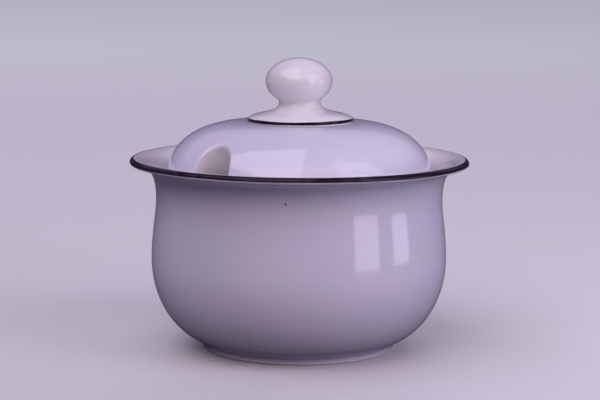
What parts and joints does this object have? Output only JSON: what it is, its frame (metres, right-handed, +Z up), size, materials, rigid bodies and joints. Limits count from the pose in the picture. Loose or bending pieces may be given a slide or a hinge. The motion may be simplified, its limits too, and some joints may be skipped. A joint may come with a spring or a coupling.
{
  "type": "sugar bowl with lid",
  "caption": "Round-bellied porcelain sugar bowl with a flared rim and an inner ledge that carries a domed lift-off lid with a ball knob and a spoon notch in its side, banded with dark lines.",
  "frame": {"origin": "centre of the foot ring, on the surface that the bowl stands on", "axes": "+Z up along the bowl's axis; the lid's spoon notch faces -Y"},
  "size_m": [0.116, 0.116, 0.0996],
  "materials": {
    "pale_glaze": "gloss porcelain glaze, white with a cool blue tint",
    "white_glaze": "gloss porcelain glaze, plain white",
    "line_colour": "fired-on ceramic colour, blue-black, gloss"
  },
  "bodies": {
    "bowl": {"bowl": "pale_glaze", "rim_line": "line_colour"},
    "lid": {"lid": "pale_glaze", "knob": "white_glaze", "knob_line": "line_colour"}
  },
  "joints": [
    {"name": "lid_lift", "type": "slide", "parent": "bowl", "child": "lid", "axis": [0, 0, 1], "range_m": [0, 0.06]}
  ]
}
